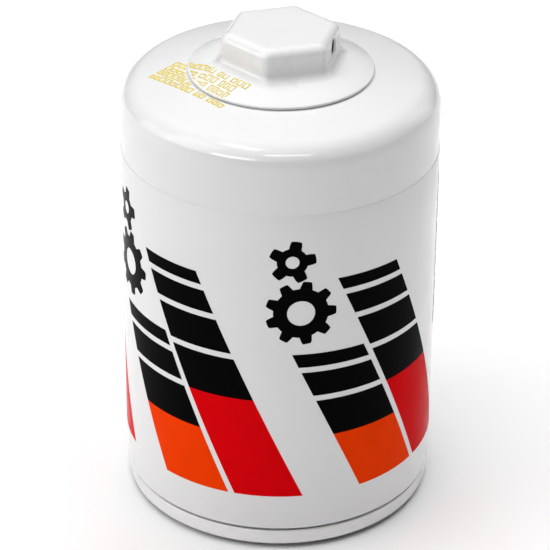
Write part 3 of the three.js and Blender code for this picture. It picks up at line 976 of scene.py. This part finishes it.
def poppet():
    """The bypass valve's disc, dished on top, on the stem that slides in the cage."""
    low, high = mm_box("bypass_poppet")
    bottom, top = low[2], high[2]
    radius, stem, dish, dish_depth = high[0], 1.8, 2.6, 0.4
    under = top - 1
    return revolve("valve_poppet", rounded([
        (0, bottom), (stem, bottom, 0.4), (stem, under, 0.5), (radius, under, 0.3),
        (radius, top, 0.3), (dish + 0.6, top, 0.3), (dish, top - dish_depth, 0.3),
        (0, top - dish_depth),
    ]), COARSE)


def sprung(name, node, wire, turns, body):
    """A coil spring in its node's place, in spring steel on its body, with a mesh of its own."""
    spring = dress(coil(name, node, wire, turns), "spring", "spring_steel", body, node)
    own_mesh(spring)


# ---------------------------------------------------------------- assembly
dress(can(), "can", "white_paint", "shell", "canister")
dress(nut(), "nut", "white_paint_nut", "shell", "wrench_nut")
dress(lid(), "seam", "bare_steel", "shell", "seaming_lid")
dress(plate(), "plate", "plate_steel", "shell", "base_plate")
dress(gasket(), "nitrile", "nitrile_rubber", "shell", "sealing_gasket")

print_piece("orange_bars", "orange", "orange_ink", orange_print)
print_piece("red_bars", "red", "red_ink", red_print)
print_piece("black_bars", "black", "black_ink", black_print)
print_piece("fine_print_dashes", "grey", "grey_ink", fine_print)
print_piece("date_code_dots", "yellow", "yellow_ink", date_dots)

valve = dress(membrane(), "silicone", "silicone_rubber", None, "drain_back_hub", "drain_back_lip")
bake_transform(valve)

bottom_cap = end_cap("bottom_cap", ELEMENT_BOTTOM, 1, 12.4)
dress(bottom_cap, "tinplate", "tinplate", "element", "lower_end_cap")
top_cap = end_cap("top_cap", ELEMENT_TOP, -1, 11)
dress(top_cap, "tinplate", "tinplate", "element", "upper_end_cap")
for potting in ("lower_potting", "upper_potting"):
    bead = washer_in(potting + "_bead", potting, 14.3, 0.4)
    dress(bead, "plastisol", "plastisol", "element", potting)
dress(pleats(), "paper", "filter_paper", "element", "pleated_media")
dress(punched_tube(), "zinc", "zinc_steel", "element", "center_tube")

dress(cage(), "zinc", "zinc_steel", "element", "bypass_cage")
valve_seat = washer_in("valve_seat", "bypass_seat", 6.5, 0.25)
dress(valve_seat, "zinc", "zinc_steel", "element", "bypass_seat")
dress(poppet(), "zinc", "zinc_steel", "poppet", "bypass_poppet")
valve_seal = washer_in("valve_seal", "bypass_seal", 5.5, 0.35)
dress(valve_seal, "nitrile", "nitrile_rubber", "poppet", "bypass_seal")
sprung("valve_spring", "bypass_spring", 0.5, 6, "element")
sprung("hold_down_spring", "element_spring", 1.0, 3.5, "shell")

# The media's seam clip is small and plain enough to stay the CAD solid.
clip = frame["nodes"]["media_seam_clip"]
clip.data.materials.clear()
clip.data.materials.append(MATERIALS["tinplate"])


# ---------------------------------------------------------------- stage, lights and camera
MIDDLE = Vector((0, 0, 0.06))  # about half way up the can


def floor():
    """A plain pale disc, wide enough to have no edge in view."""
    bm = bmesh.new()
    bmesh.ops.create_circle(bm, cap_ends=True, segments=64, radius=4)
    plane = finish_mesh("floor", bm)
    surface = Surface("floor_card", (0.93, 0.93, 0.93), 0.9, specular=0.1)
    plane.data.materials.append(surface.material)


def softbox(name, place, width, height, watts, mirrored=True, lighting=True):
    """A soft lamp aimed at the can; it can be kept out of reflections, or be only a reflection."""
    light = bpy.data.lights.new(name, "AREA")
    light.shape = "RECTANGLE"
    light.size = width
    light.size_y = height
    light.energy = watts
    obj = bpy.data.objects.new(name, light)
    bpy.context.collection.objects.link(obj)
    obj.location = place
    obj.rotation_euler = (MIDDLE - Vector(place)).to_track_quat("-Z", "Y").to_euler()
    obj.visible_glossy = mirrored
    obj.visible_diffuse = lighting


def world(level):
    """White to the camera, as a backdrop, and nearly dark to everything else."""
    background = bpy.data.worlds.new("studio")
    background.use_nodes = True
    tree = background.node_tree
    shade = tree.nodes["Background"]
    shade.inputs["Color"].default_value = (1, 1, 1, 1)
    path = tree.nodes.new("ShaderNodeLightPath")
    strength = tree.nodes.new("ShaderNodeMapRange")
    strength.inputs["To Min"].default_value = level
    strength.inputs["To Max"].default_value = 1.0
    tree.links.new(path.outputs["Is Camera Ray"], strength.inputs["Value"])
    tree.links.new(strength.outputs["Result"], shade.inputs["Strength"])
    bpy.context.scene.world = background


def camera():
    """A long lens in front of the can, looking down at it by about thirty degrees."""
    lens = bpy.data.cameras.new("camera")
    lens.sensor_width = 36
    lens.lens = 177.7
    lens.clip_start = 0.01
    obj = bpy.data.objects.new("camera", lens)
    bpy.context.collection.objects.link(obj)
    yaw, pitch, roll = (math.radians(a) for a in (-0.101, 29.97, 0.412))
    turn = Matrix.Rotation(-yaw, 4, "Z") @ Matrix.Rotation(math.pi / 2 - pitch, 4, "X")
    place = Matrix.Translation((0, -0.5772, 0.3883))
    obj.matrix_world = place @ turn @ Matrix.Rotation(roll, 4, "Z")
    bpy.context.scene.camera = obj


floor()
world(0.02)
softbox("overhead", (0.0, 0.1, 1.2), 1.3, 1.3, 16.6, mirrored=False)
softbox("front_fill", (-0.25, -0.75, 1.1), 0.7, 0.5, 2.2, mirrored=False)
softbox("key", (-1.1, -0.35, 0.75), 0.7, 1.2, 4.7)
softbox("side", (-1.2, 0.15, 0.35), 0.6, 0.7, 1.7)
softbox("rim", (1.1, 0.75, 0.5), 0.5, 1.0, 1.1)
softbox("back", (0.0, 1.0, 1.0), 1.0, 0.7, 2.6, mirrored=False)
# Three strips that only make the bright streaks on the shoulder.
softbox("upper_strip", (-0.33, -0.264, 1.222), 0.42, 0.20, 1.5, lighting=False)
softbox("lower_strip", (-0.61, -0.92, 0.576), 0.61, 0.34, 3.6, lighting=False)
softbox("front_strip", (0.09, -0.765, 1.017), 0.55, 0.10, 1.4, lighting=False)
camera()
bpy.context.scene.view_settings.view_transform = "Standard"
